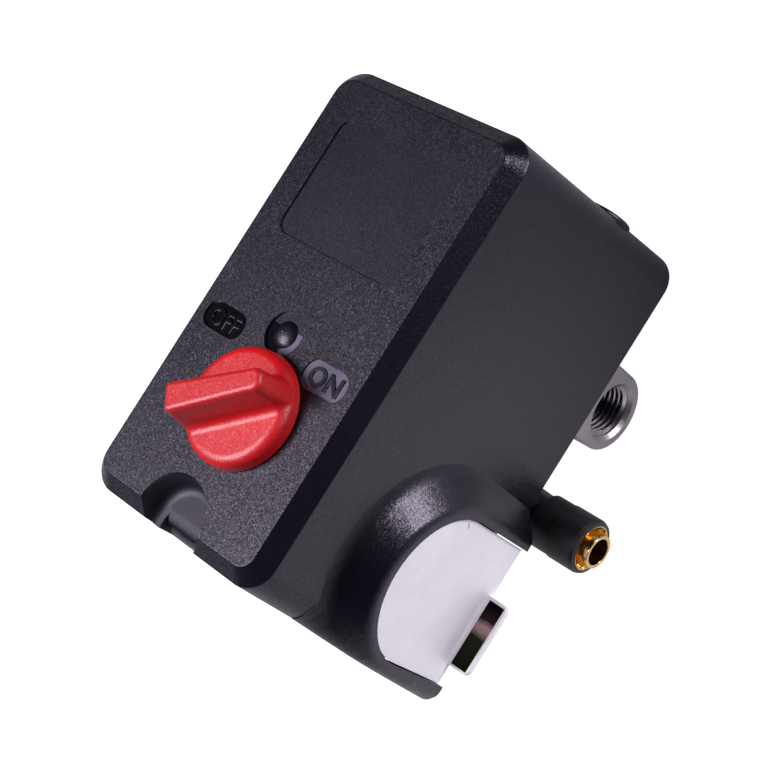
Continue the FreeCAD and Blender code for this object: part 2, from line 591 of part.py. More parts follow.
# ---------------------------------------------------------------- contact block
cb = rblock(46.0, 34.0, 2.0, PLATE_T, 36.0, 0, -32.5)
cb = cb.fuse(box(-23, 23, -49.5, -44.5, 35.0, 39.0)).removeSplitter()
for sx in (1, -1):
    for yy in (-24.0, -40.0):
        xa, xb = (10.5, 22.0) if sx > 0 else (-22.0, -10.5)
        cb = cb.cut(cyl_z(1.6, sx * 17.5, yy, 32.0, 37.0))
    cb = cb.fuse(box(10.6 if sx > 0 else -22.5, 22.5 if sx > 0 else -10.6, -32.9, -31.1, 35.5, 41.0))
cb = cb.removeSplitter()
for yy in (-18.5, -46.5):
    cb = cb.cut(cyl_z(1.55, 0.0, yy, 28, 45))
cb = cb.cut(cyl_z(3.0, 0.0, -18.5, 34.0, 45)).cut(cyl_z(3.0, 0.0, -46.5, 36.5, 45))
save("contact_block", cb)
cbs = []
for yy, zt in ((-18.5, 34.0), (-46.5, 36.5)):
    h = cyl_z(2.7, 0, yy, zt, zt + 1.8)
    h = soft(h, [e for e in h.Edges if abs(e.CenterOfMass.z - zt - 1.8) < 0.01], 0.5)
    cbs.append(h.fuse(cyl_z(1.5, 0, yy, 28.6, zt)).removeSplitter())
save("contact_block_screws", group(*cbs))

fc, ts = [], []
for sx in (1, -1):
    for yy in (-24.0, -40.0):
        X = lambda a, b: (a, b) if sx > 0 else (-b, -a)
        a, b = X(6.8, 22.0)
        s = box(a, b, yy - 3.2, yy + 3.2, 36.0, 37.0)
        s = s.fuse(cyl_z(1.9, sx * 8.9, yy, 37.0, 38.2))
        s = s.cut(cyl_z(1.6, sx * 17.5, yy, 30, 40))
        fc.append(s.removeSplitter())
        h = cyl_z(3.1, sx * 17.5, yy, 37.0, 39.2)
        h = soft(h, [e for e in h.Edges if abs(e.CenterOfMass.z - 39.2) < 0.01], 0.5)
        h = h.cut(box(sx * 17.5 - 4, sx * 17.5 + 4, yy - 0.45, yy + 0.45, 38.3, 40))
        ts.append(h.fuse(cyl_z(1.6, sx * 17.5, yy, 32.2, 37.0)).removeSplitter())
save("fixed_contacts", group(*fc))
save("terminal_screws", group(*ts))

# insulating carrier under the lever's tail, with the two moving bridges
cc = box(-5.0, 5.0, -43.0, -21.0, 39.7, LEVER_Z)
for yy in (-24.0, -40.0):
    cc = cc.cut(cyl_z(1.5, 0, yy, 30, 45))
save("contact_carrier", cc)
mc = []
for yy in (-24.0, -40.0):
    s = box(-10.8, 10.8, yy - 2.6, yy + 2.6, 38.9, 39.7)
    for sx in (1, -1):
        s = s.fuse(cyl_z(1.9, sx * 8.9, yy, 38.5, 39.0))
    mc.append(s.removeSplitter().cut(cyl_z(1.5, 0, yy, 30, 45)))
save("moving_contacts", group(*mc))
rv = []
for yy in (-24.0, -40.0):
    s = cyl_z(1.5, 0, yy, 38.9, LEVER_Z + 2).fuse(cyl_z(2.6, 0, yy, 38.2, 38.9)).fuse(
        cyl_z(2.6, 0, yy, LEVER_Z + 2, LEVER_Z + 2.8))
    rv.append(s.removeSplitter())
save("carrier_rivets", group(*rv))

# ---------------------------------------------------------------- knob
zk = Z_TOP + 0.3
disc = Part.makeCone(KNOB_R, KNOB_R - 0.35, 4.3, V(0, 0, zk), V(0, 0, 1))
disc = soft(disc, [e for e in disc.Edges if abs(e.CenterOfMass.z - zk - 4.3) < 0.01], 2.2)
disc = soft(disc, [e for e in disc.Edges if abs(e.CenterOfMass.z - zk) < 0.01 and e.Curve.Radius > 10
                   if hasattr(e.Curve, "Radius")], 0.4)


def bar_wire(z, la, lb, wa, wb):
    """Grip section: narrow end wa at +X (length la), wide end wb at -X (length lb)."""
    P = lambda x, y: V(x, y, z)
    ya, yb = wa / 2.0, wb / 2.0
    return Part.makePolygon([P(la, -ya), P(la, ya), P(-lb, yb), P(-lb, -yb), P(la, -ya)])


bar = Part.makeLoft([bar_wire(zk + 2.0, 13.2, 12.9, 6.3, 7.6), bar_wire(zk + 13.7, 12.7, 10.8, 4.8, 6.8)],
                    True, True)
bar = soft(bar, edges_where(bar, lambda e, b, c: b.ZLength > 8 and c.x > 5), 2.1)
bar = soft(bar, edges_where(bar, lambda e, b, c: b.ZLength > 8 and c.x < -5), 1.4)
bar = soft(bar, edges_where(bar, lambda e, b, c: b.ZMin > zk + 13.0), 1.15)
print("bar", len(bar.Edges), len(bar.Faces))
knob = disc.fuse(bar.common(cyl_z(KNOB_R - 0.2, 0, 0, zk, zk + 20))).removeSplitter()
ke = edges_where(knob, lambda e, b, c: b.ZLength < 2.5 and abs(c.z - zk - 4.3) < 0.3 and b.ZMax < zk + 5.2
                 and max(b.XLength, b.YLength) > 6 and abs(c.y) > 2 and abs(c.y) < 5)
k2 = soft(knob, ke, 1.9)
print("knob foot edges", len(ke), "volume", round(k2.Volume, 1), round(knob.Volume, 1))
knob = k2
knob = knob.fuse(cyl_z(4.9, 0, 0, 84.0, zk + 1.0)).removeSplitter()
knob = knob.cut(cyl_z(6, 0, 0, 85.4, 86.6).cut(cyl_z(4.1, 0, 0, 85, 87)))
knob = knob.cut(cyl_z(3.0, 0, 0, 83.0, 95.0))
knob.rotate(V(0, 0, 0), V(0, 0, 1), KNOB_TURN)
knob.translate(V(KNOB_X, KNOB_Y, 0))
save("control_knob", knob)

ring = cyl_z(7.6, KNOB_X, KNOB_Y, 85.6, 86.4).cut(cyl_z(4.15, KNOB_X, KNOB_Y, 85, 87))
ring = ring.cut(box(KNOB_X - 2.2, KNOB_X + 2.2, KNOB_Y - 9, KNOB_Y - 2, 85, 87))
save("knob_retaining_ring", ring)

cam = cyl_z(3.0, 0, 0, 50.0, 95.0).fuse(cyl_z(7.6, 0, 0, 50.0, 54.0))
lobe = cyl_z(7.6, 0, 0, 54.0, 57.4).cut(cyl_z(4.5, 0, 0, 53, 58)).common(box(-9, 9, -9, -3.2, 53.5, 58))
cam = cam.fuse(lobe).removeSplitter()
cam.translate(V(KNOB_X, KNOB_Y, 0))
save("cam_shaft", cam)

# ---------------------------------------------------------------- unloader valve
ub = rblock(13.8, 12.0, 1.5, 12.2, PLATE_Z, 20.9, FIT_Y)
ub = ub.fuse(cyl_x(5.2, FIT_Y, FIT_Z, 26.0, FIT_X0)).removeSplitter()
ub = ub.cut(cyl_z(1.7, PIN_X, FIT_Y, 15.0, 31))
ub = ub.cut(cyl_x(3.2, FIT_Y, FIT_Z, 22.0, 32.0))
for yy in (-12.0, -4.4):
    ub = ub.cut(cyl_z(1.5, 17.0, yy, 22.0, 31))
save("unloader_body", ub)
us = []
for yy in (-12.0, -4.4):
    h = cyl_z(2.5, 17.0, yy, PLATE_T, PLATE_T + 2.0)
    h = soft(h, [e for e in h.Edges if abs(e.CenterOfMass.z - PLATE_T - 2.0) < 0.01], 0.5)
    us.append(h.fuse(cyl_z(1.5, 17.0, yy, 22.2, PLATE_T)).removeSplitter())
save("unloader_screws", group(*us))
upin = cyl_z(1.65, PIN_X, FIT_Y, 16.0, LEVER_Z - 0.3)
upin = soft(upin, [e for e in upin.Edges if abs(e.CenterOfMass.z - LEVER_Z + 0.3) < 0.01], 0.6)
save("unloader_pin", upin)

# push-in tube fitting: black body, brass insert, O-ring and brass release collet
prof = [(0, FIT_X0), (5.9, FIT_X0), (FIT_R - 0.2, FIT_X0 + 0.8), (FIT_R - 0.2, 36.0), (FIT_R, 36.3),
        (FIT_R, FIT_X1 - 1.2), (FIT_R - 0.35, FIT_X1 - 0.35), (FIT_R - 1.2, FIT_X1), (0, FIT_X1)]
f = Part.Face(Part.makePolygon([V(x, FIT_Y + r, FIT_Z) for r, x in prof] + [V(prof[0][1], FIT_Y, FIT_Z)]))
fit = f.revolve(V(0, FIT_Y, FIT_Z), V(1, 0, 0), 360)
fit = fit.cut(cyl_x(5.6, FIT_Y, FIT_Z, 33.0, 46.0)).cut(cyl_x(3.2, FIT_Y, FIT_Z, 29.0, 34.0))
save("tube_fitting_body", fit)
ins = cyl_x(5.6, FIT_Y, FIT_Z, 33.0, FIT_X1 - 0.1)
ins = ins.cut(cyl_x(3.2, FIT_Y, FIT_Z, 32.0, 46.0)).cut(cyl_x(4.2, FIT_Y, FIT_Z, 36.0, 46.0))
ins = ins.cut(cone_x(4.2, 5.35, FIT_Y, FIT_Z, FIT_X1 - 2.1, FIT_X1 - 0.09))
save("tube_fitting_insert", ins)
oring = Part.makeTorus(3.6, 0.55, V(36.6, FIT_Y, FIT_Z), V(1, 0, 0))
save("tube_o_ring", oring)
col = cyl_x(4.15, FIT_Y, FIT_Z, 39.2, COLLET_X).cut(cyl_x(3.25, FIT_Y, FIT_Z, 39.0, 48.0))
col = soft(col, [e for e in col.Edges if abs(e.CenterOfMass.x - COLLET_X) < 0.01], 0.2)
save("release_collet", col)

# ---------------------------------------------------------------- earth screw and cable bushings
es = cyl_z(3.6, -20.0, -8.0, PLATE_T, PLATE_T + 2.4)
es = soft(es, [e for e in es.Edges if abs(e.CenterOfMass.z - PLATE_T - 2.4) < 0.01], 0.6)
es = es.cut(box(-24, -16, -8.5, -7.5, PLATE_T + 1.4, PLATE_T + 3))
es = es.fuse(cyl_z(2.0, -20.0, -8.0, 25.0, PLATE_T)).removeSplitter()
save("earth_screw", es)

bu, ln = [], []
for yy, zz in BUSH:
    b = cyl_x(6.2, yy, zz, -38.0, -27.5).fuse(cyl_x(7.4, yy, zz, -39.3, -DPLATE_X))
    b = soft(b, [e for e in b.Edges if abs(e.CenterOfMass.x + 39.3) < 0.01], 1.0)
    b = b.cut(cyl_x(4.5, yy, zz, -45, -20))
    b = b.cut(cone_x(5.6, 4.4, yy, zz, -39.4, -38.0))
    bu.append(b.removeSplitter())
    n = cyl_x(8.0, yy, zz, -DPLATE_X + SHEET, -DPLATE_X + SHEET + 2.6).cut(cyl_x(6.2, yy, zz, -40, -20))
    ln.append(n)
save("cable_bushings", group(*bu))
save("bushing_locknuts", group(*ln))
print(len(NODES), "nodes")
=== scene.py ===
import math

import bmesh
import bpy
from mathutils import Matrix, Vector


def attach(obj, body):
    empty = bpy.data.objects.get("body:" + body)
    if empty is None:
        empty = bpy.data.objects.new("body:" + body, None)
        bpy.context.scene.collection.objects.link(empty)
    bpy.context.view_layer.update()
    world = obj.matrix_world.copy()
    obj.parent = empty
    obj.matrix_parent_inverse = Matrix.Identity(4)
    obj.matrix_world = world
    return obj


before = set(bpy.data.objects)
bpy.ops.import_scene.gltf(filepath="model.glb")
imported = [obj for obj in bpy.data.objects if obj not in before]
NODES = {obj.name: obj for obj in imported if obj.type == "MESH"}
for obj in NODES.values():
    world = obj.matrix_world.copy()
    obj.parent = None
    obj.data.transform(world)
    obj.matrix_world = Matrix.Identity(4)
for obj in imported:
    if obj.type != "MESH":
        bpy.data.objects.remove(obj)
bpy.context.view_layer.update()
MM = 0.001
scene = bpy.context.scene

# ---------------------------------------------------------------- camera
CAM_POS = (0.24065, -0.03815, 0.36777)
R = ((0.679828, 0.532246, -0.504528), (0.400006, -0.845723, -0.353197), (-0.614678, 0.038299, -0.787848))
cam_data = bpy.data.cameras.new("view_camera")
cam_data.lens, cam_data.sensor_width = 81.60, 36.0
cam_data.clip_start, cam_data.clip_end = 0.01, 20.0
cam = bpy.data.objects.new("view_camera", cam_data)
scene.collection.objects.link(cam)
cam.matrix_world = Matrix((
    (R[0][0], -R[1][0], -R[2][0], CAM_POS[0]),
    (R[0][1], -R[1][1], -R[2][1], CAM_POS[1]),
    (R[0][2], -R[1][2], -R[2][2], CAM_POS[2]),
    (0, 0, 0, 1)))
scene.camera = cam
scene.view_settings.view_transform = "Standard"
scene.view_settings.look = "None"


# ---------------------------------------------------------------- node helpers
class Net:
    """A small builder for one material's nodes."""

    def __init__(self, name):
        self.mat = bpy.data.materials.new(name)
        self.mat.use_nodes = True
        self.nt = self.mat.node_tree
        self.bsdf = self.nt.nodes["Principled BSDF"]
        self.coord = self.nt.nodes.new("ShaderNodeTexCoord")

    def node(self, kind, **sets):
        n = self.nt.nodes.new(kind)
        for k, v in sets.items():
            setattr(n, k, v)
        return n

    def link(self, a, b):
        self.nt.links.new(a, b)

    def put(self, socket, value):
        if isinstance(value, (int, float)):
            socket.default_value = value
        elif isinstance(value, (tuple, list)):
            socket.default_value = value if len(value) == len(socket.default_value) else (*value, 1.0)
        else:
            self.link(value, socket)

    @property
    def pos(self):
        return self.coord.outputs["Object"]

    @property
    def normal(self):
        return self.coord.outputs["Normal"]

    def math(self, op, a, b=0.0, c=0.0, clamp=False):
        n = self.node("ShaderNodeMath", operation=op, use_clamp=clamp)
        for i, v in enumerate((a, b, c)):
            self.put(n.inputs[i], v)
        return n.outputs[0]

    def split(self, vec):
        n = self.node("ShaderNodeSeparateXYZ")
        self.link(vec, n.inputs[0])
        return n.outputs

    def vec(self, x, y, z):
        n = self.node("ShaderNodeCombineXYZ")
        for s, v in zip(n.inputs, (x, y, z)):
            self.put(s, v)
        return n.outputs[0]

    def mapping(self, vec, scale=(1, 1, 1), loc=(0, 0, 0), rot=(0, 0, 0)):
        n = self.node("ShaderNodeMapping")
        self.link(vec, n.inputs["Vector"])
        n.inputs["Scale"].default_value = scale
        n.inputs["Location"].default_value = loc
        n.inputs["Rotation"].default_value = rot
        return n.outputs[0]

    def noise(self, scale, detail=2.0, rough=0.5, vec=None, distortion=0.0):
        n = self.node("ShaderNodeTexNoise")
        self.link(vec or self.pos, n.inputs["Vector"])
        n.inputs["Scale"].default_value = scale
        n.inputs["Detail"].default_value = detail
        n.inputs["Roughness"].default_value = rough
        n.inputs["Distortion"].default_value = distortion
        return n.outputs["Fac"]

    def voronoi(self, scale, feature="F1", vec=None, out="Distance"):
        n = self.node("ShaderNodeTexVoronoi", feature=feature)
        self.link(vec or self.pos, n.inputs["Vector"])
        n.inputs["Scale"].default_value = scale
        return n.outputs[out]

    def range(self, v, a, b, c=0.0, d=1.0, kind="LINEAR"):
        n = self.node("ShaderNodeMapRange", interpolation_type=kind)
        self.link(v, n.inputs["Value"])
        for k, val in (("From Min", a), ("From Max", b), ("To Min", c), ("To Max", d)):
            self.put(n.inputs[k], val)
        return n.outputs["Result"]

    def ramp(self, v, stops):
        n = self.node("ShaderNodeValToRGB")
        self.link(v, n.inputs[0])
        e = n.color_ramp.elements
        while len(e) > 1:
            e.remove(e[-1])
        e[0].position, e[0].color = stops[0][0], (*stops[0][1], 1)
        for p, c in stops[1:]:
            s = e.new(p)
            s.color = (*c, 1)
        return n.outputs["Color"]

    def mix(self, f, a, b):
        n = self.node("ShaderNodeMix", data_type="RGBA")
        self.put(n.inputs[0], f)
        self.put(n.inputs[6], a)
        self.put(n.inputs[7], b)
        return n.outputs[2]

    def lerp(self, f, a, b):
        n = self.node("ShaderNodeMix", data_type="FLOAT")
        self.put(n.inputs[0], f)
        self.put(n.inputs[2], a)
        self.put(n.inputs[3], b)
        return n.outputs[0]

    def bump(self, height, strength, distance, normal=None):
        n = self.node("ShaderNodeBump")
        self.link(height, n.inputs["Height"])
        self.put(n.inputs["Strength"], strength)
        n.inputs["Distance"].default_value = distance
        if normal is not None:
            self.link(normal, n.inputs["Normal"])
        return n.outputs[0]

    def facets(self, scale, amount, normal=None):
        """Tiny cells that each lean their own way, like a spark-eroded mould skin."""
        v = self.node("ShaderNodeTexVoronoi", feature="F1")
        self.link(self.pos, v.inputs["Vector"])
        v.inputs["Scale"].default_value = scale
        m = self.node("ShaderNodeVectorMath", operation="SUBTRACT")
        self.link(v.outputs["Color"], m.inputs[0])
        m.inputs[1].default_value = (0.5, 0.5, 0.5)
        k = self.node("ShaderNodeVectorMath", operation="SCALE")
        self.link(m.outputs[0], k.inputs[0])
        self.put(k.inputs["Scale"], amount)
        g = self.node("ShaderNodeNewGeometry")
        a = self.node("ShaderNodeVectorMath", operation="ADD")
        self.link(k.outputs[0], a.inputs[0])
        self.link(normal or g.outputs["Normal"], a.inputs[1])
        n = self.node("ShaderNodeVectorMath", operation="NORMALIZE")
        self.link(a.outputs[0], n.inputs[0])
        return n.outputs[0]

    def edge(self, width, samples=6):
        """0 on flats, rising to 1 on convex edges, from how far a rounded normal leans."""
        b = self.node("ShaderNodeBevel", samples=samples)
        b.inputs["Radius"].default_value = width
        g = self.node("ShaderNodeNewGeometry")
        d = self.node("ShaderNodeVectorMath", operation="DOT_PRODUCT")
        self.link(b.outputs[0], d.inputs[0])
        self.link(g.outputs["Normal"], d.inputs[1])
        return self.range(d.outputs["Value"], 0.985, 0.80)

    def set(self, **v):
        names = {"color": "Base Color", "rough": "Roughness", "metal": "Metallic", "normal": "Normal",
                 "ior": "IOR", "spec": "Specular IOR Level", "tint": "Specular Tint", "coat": "Coat Weight", "coat_rough": "Coat Roughness",
                 "sheen": "Sheen Weight", "sheen_rough": "Sheen Roughness", "aniso": "Anisotropic",
                 "sss": "Subsurface Weight", "sss_scale": "Subsurface Scale", "sss_radius": "Subsurface Radius"}
        for k, val in v.items():
            self.put(self.bsdf.inputs[names[k]], val)
        return self.mat


def paint(name, mat):
    o = NODES[name]
    if not o.data.materials:
        o.data.materials.append(mat)
    for i in range(len(o.data.materials)):
        o.data.materials[i] = mat


# ---------------------------------------------------------------- materials
def black_plastic(name, base=(0.010, 0.0095, 0.012), grain=1.0, rough=0.42):
    n = Net(name)
    fine = n.noise(3200, 3.0, 0.62)
    mid = n.noise(900, 2.0, 0.5)
    cloud = n.noise(45, 3.0, 0.5)
    col = n.mix(n.range(cloud, 0.35, 0.7), base, tuple(c * 1.35 for c in base))
    b1 = n.bump(fine, 0.55 * grain, 0.00010)
    b2 = n.bump(mid, 0.25 * grain, 0.00012, b1)
    return n.set(color=col, rough=n.range(cloud, 0.3, 0.7, rough - 0.03, rough + 0.05), normal=b2, spec=0.5)


def cover_plastic():
    """Moulded black shell: eroded grain outside, a finer grain in the label panel, smooth legend windows."""
    n = Net("cover_black_abs")
    p = n.split(n.pos)
    nz = n.split(n.normal)[2]
    top = n.range(nz, 0.90, 0.97)
    sunk = n.math("MULTIPLY", n.range(p[2], 96.62 * MM, 96.58 * MM), n.range(p[2], 96.20 * MM, 96.25 * MM))
    floor_ = n.math("MULTIPLY", sunk, top)
    legend = n.math("MULTIPLY", floor_, n.range(p[1], -25.0 * MM, -25.2 * MM))
    label = n.math("SUBTRACT", floor_, legend, clamp=True)
    cloud = n.noise(38, 3.0, 0.5)
    patch = n.noise(420, 2.0, 0.5)
    notch = n.math("MULTIPLY", n.range(p[1], -60.5 * MM, -61.5 * MM), n.range(p[2], 96.4 * MM, 96.2 * MM))
    notch = n.math("MULTIPLY", notch, n.range(n.math("ABSOLUTE", p[0]), 11.0 * MM, 10.0 * MM))
    notch = n.math("MULTIPLY", notch, n.range(p[2], 90.0 * MM, 90.6 * MM))
    dome = n.math("MULTIPLY", n.range(n.math("ABSOLUTE", p[0]), 5.2 * MM, 5.0 * MM),
                  n.range(n.math("ABSOLUTE", n.math("ADD", p[1], 26.5 * MM)), 5.2 * MM, 5.0 * MM))
    dome = n.math("MULTIPLY", n.math("MULTIPLY", dome, n.range(p[2], 96.0 * MM, 96.2 * MM)),
                  n.math("MAXIMUM", n.range(p[2], 96.95 * MM, 96.9 * MM), n.range(p[2], 97.03 * MM, 97.05 * MM)))
    grain = n.lerp(n.range(nz, 0.80, 0.95), 0.16, n.range(patch, 0.3, 0.7, 0.19, 0.28))
    amount = n.lerp(label, grain, 0.13)
    amount = n.lerp(legend, amount, 0.03)
    amount = n.lerp(notch, amount, 0.06)
    amount = n.lerp(dome, amount, 0.10)
    f = n.facets(4600, amount)
    b1 = n.bump(n.noise(5200, 1.0, 0.5), 0.25, 0.00003, f)
    base = n.mix(n.range(cloud, 0.3, 0.7), (0.0028, 0.0023, 0.0052), (0.0042, 0.0035, 0.0074))
    # painted light and shade: the ON window floor is coloured lighter grey and the OFF window floor darker black, for
    # how light falls on each
    on_side = n.math("MULTIPLY", legend, n.range(p[0], 0.0, 1.0 * MM))
    base = n.mix(on_side, base, (0.115, 0.104, 0.145))
    base = n.mix(n.math("SUBTRACT", legend, on_side, clamp=True), base, (0.0022, 0.0020, 0.0034))
    rough = n.lerp(n.range(nz, 0.80, 0.95), 0.30, n.range(cloud, 0.3, 0.7, 0.42, 0.48))
    rough = n.lerp(legend, rough, 0.20)
    rough = n.lerp(on_side, rough, 0.42)
    rough = n.lerp(notch, rough, 0.55)
    return n.set(color=base, rough=rough, normal=b1, spec=0.55, tint=(0.95, 0.89, 1.0))


def red_plastic():
    n = Net("knob_red_abs")
    cloud = n.noise(60, 2.0, 0.5)
    col = n.mix(n.range(cloud, 0.3, 0.7), (0.43, 0.0018, 0.0028), (0.48, 0.0028, 0.0042))
    f = n.facets(4600, n.range(n.noise(420, 2.0, 0.5), 0.3, 0.7, 0.13, 0.22))
    b = n.bump(n.noise(2600, 2.0, 0.5), 0.20, 0.00005, f)
    return n.set(color=col, rough=n.range(cloud, 0.3, 0.7, 0.42, 0.48), normal=b, spec=0.62)


NICK_SHADE_AT = (-39.91 * MM, 53.05 * MM)           # painted shade: a small dark stroke on the side plate where a nick's shade falls


def zinc_plate(name="bright_zinc_steel", base=(0.78, 0.77, 0.80), rough=0.22, lug=False):
    n = Net(name)
    cloud = n.noise(90, 4.0, 0.6)
    streak = n.noise(220, 3.0, 0.55, vec=n.mapping(n.pos, scale=(1.0, 0.25, 1.0)))
    speck = n.range(n.noise(700, 2.0, 0.5), 0.70, 0.78)
    col = n.mix(n.range(cloud, 0.35, 0.7), base, tuple(c * 0.92 for c in base))
    col = n.mix(n.math("MULTIPLY", speck, 0.25), col, (0.42, 0.41, 0.44))
    b = n.bump(streak, 0.06, 0.00006)
    r = n.range(streak, 0.3, 0.7, rough - 0.04, rough + 0.06)
    if lug:                                 # the rolled face of the lug: polished, its colour a painted reflection, dark with a pinkish-tan band
        q = n.split(n.pos)
        face = n.math("MULTIPLY", n.range(q[2], 30.90 * MM, 30.97 * MM), n.range(q[0], 36.1 * MM, 36.25 * MM))
        face = n.math("MULTIPLY", face, n.range(q[0], 40.75 * MM, 40.6 * MM))
        face = n.math("MULTIPLY", face, n.range(q[1], -68.2 * MM, -68.0 * MM))
        face = n.math("MULTIPLY", face, n.range(q[1], -51.4 * MM, -51.6 * MM))
        # painted reflection on the lug's face: dark, with a pinkish-tan band along its length
        painted_reflection = n.ramp(n.range(n.math("ADD", q[1], n.math("MULTIPLY", n.noise(160), 0.0022)), -68.0 * MM, -51.0 * MM),
                       [(0.0, (0.010, 0.013, 0.007)), (0.52, (0.022, 0.025, 0.014)), (0.62, (0.34, 0.27, 0.20)),
                        (0.70, (0.52, 0.30, 0.30)), (0.78, (0.030, 0.018, 0.018)), (1.0, (0.004, 0.004, 0.004))])
        col = n.mix(face, col, painted_reflection)
        r = n.lerp(face, r, 0.12)
        along, across = n.math("ADD", q[1], q[2]), n.math("SUBTRACT", q[1], q[2])
        # painted shade of the small nick on the side plate
        nick_shade = n.math("MULTIPLY", n.range(n.math("ABSOLUTE", n.math("SUBTRACT", across, NICK_SHADE_AT[0] - NICK_SHADE_AT[1])), 0.00019, 0.00013),
                      n.range(n.math("ABSOLUTE", n.math("SUBTRACT", along, NICK_SHADE_AT[0] + NICK_SHADE_AT[1])), 0.00115, 0.00100))
        nick_shade = n.math("MULTIPLY", nick_shade, n.range(q[0], 35.2 * MM, 35.25 * MM))
        col = n.mix(nick_shade, col, (0.02, 0.02, 0.02))
        return n.set(color=col, metal=n.lerp(face, 0.28, 1.0), rough=r, normal=b, spec=0.5)
    return n.set(color=col, metal=1.0, rough=r, normal=b)


def cast_metal():
    n = Net("die_cast_body")
    grain = n.noise(1500, 3.0, 0.6)
    cloud = n.noise(70, 3.0, 0.5)
    col = n.mix(n.range(cloud, 0.35, 0.7), (0.34, 0.31, 0.33), (0.42, 0.385, 0.40))
    b = n.bump(grain, 0.35, 0.00012)
    b = n.bump(n.noise(260, 2.0, 0.5), 0.15, 0.00025, b)
    return n.set(color=col, metal=1.0, rough=n.range(cloud, 0.3, 0.7, 0.34, 0.46), normal=b)


def machined(name, base, rough=0.16, ring=0.0):
    n = Net(name)
    fine = n.noise(1800, 2.0, 0.5)
    cloud = n.noise(120, 3.0, 0.5)
    col = n.mix(n.range(cloud, 0.35, 0.7), base, tuple(c * 0.82 for c in base))
    b = n.bump(fine, 0.08, 0.00004)
    return n.set(color=col, metal=1.0, rough=n.range(cloud, 0.3, 0.7, rough, rough + 0.08), normal=b)


M = {}
M["cover"] = cover_plastic()
M["black"] = black_plastic("moulded_black")
M["black_matte"] = black_plastic("matte_black_fitting", base=(0.0045, 0.0045, 0.0055), grain=0.5, rough=0.46)
M["red"] = red_plastic()
M["zinc"] = zinc_plate()
M["frame"] = zinc_plate("passivated_frame", base=(0.93, 0.895, 0.915), rough=0.52, lug=True)
M["screw"] = zinc_plate("zinc_screws", base=(0.62, 0.61, 0.62), rough=0.26)
M["cast"] = cast_metal()
M["thread"] = machined("cut_thread", (0.46, 0.43, 0.46), 0.14)
M["brass"] = machined("turned_brass", (0.83, 0.56, 0.22), 0.12)
M["copper"] = machined("contact_copper", (0.78, 0.40, 0.26), 0.25)
M["silver"] = machined("contact_silver", (0.80, 0.78, 0.74), 0.22)
M["steel"] = machined("ground_steel", (0.52, 0.51, 0.52), 0.25)
M["spring"] = machined("spring_steel", (0.30, 0.29, 0.30), 0.24)
M["rubber"] = black_plastic("nitrile_rubber", base=(0.012, 0.012, 0.013), grain=0.6, rough=0.62)
M["phenolic"] = black_plastic("phenolic_block", base=(0.030, 0.014, 0.009), grain=0.6, rough=0.38)
M["acetal"] = black_plastic("acetal_grey", base=(0.10, 0.10, 0.11), grain=0.4, rough=0.40)

USE = {
    "cover": "cover", "cover_screws": "screw", "base_frame": "frame", "pressure_manifold": "cast",
    "diaphragm": "rubber", "flange_screws": "screw", "piston": "acetal", "main_lever": "zinc",
    "pivot_pin": "steel", "pivot_clips": "spring", "spring_seat": "steel", "range_spring": "spring",
    "spring_plate": "zinc", "range_screw": "screw", "spring_bridge": "zinc", "bridge_screws": "screw",
    "contact_block": "phenolic", "contact_block_screws": "screw", "fixed_contacts": "brass",
    "terminal_screws": "screw", "contact_carrier": "phenolic", "moving_contacts": "copper",
    "carrier_rivets": "steel", "control_knob": "red", "knob_retaining_ring": "spring", "cam_shaft": "acetal",
    "unloader_body": "black_matte", "unloader_screws": "screw", "unloader_pin": "steel",
    "tube_fitting_body": "black_matte", "tube_fitting_insert": "brass", "tube_o_ring": "rubber",
    "release_collet": "brass", "earth_screw": "screw", "cable_bushings": "black", "bushing_locknuts": "black",
}
for node in NODES:
    paint(node, M[USE[node]])

# ---------------------------------------------------------------- pieces
def lathe(name, profile, seg, mat, axis="Z", at=(0, 0, 0)):
    """Turned piece from (radius, height) points in mm."""
    bm = bmesh.new()
    rings = []
    for r, h in profile:
        if r < 1e-6:
            rings.append([bm.verts.new((0, 0, h * MM))])
        else:
            rings.append([bm.verts.new((r * MM * math.cos(2 * math.pi * i / seg), r * MM * math.sin(2 * math.pi * i / seg), h * MM))
                          for i in range(seg)])
    for a, b in zip(rings, rings[1:]):
        for i in range(seg):
            j = (i + 1) % seg
            q = []
            for v in (a[i % len(a)], a[j % len(a)], b[j % len(b)], b[i % len(b)]):
                if v not in q:
                    q.append(v)
            if len(q) > 2:
                bm.faces.new(q)
    bmesh.ops.recalc_face_normals(bm, faces=bm.faces)
    if axis == "X":
        bm.transform(Matrix.Rotation(math.pi / 2, 4, "Y"))
    elif axis == "-X":
        bm.transform(Matrix.Rotation(-math.pi / 2, 4, "Y"))
    elif axis == "Y":
        bm.transform(Matrix.Rotation(-math.pi / 2, 4, "X"))
    bm.transform(Matrix.Translation([c * MM for c in at]))
    return mesh_object(name, bm, mat)


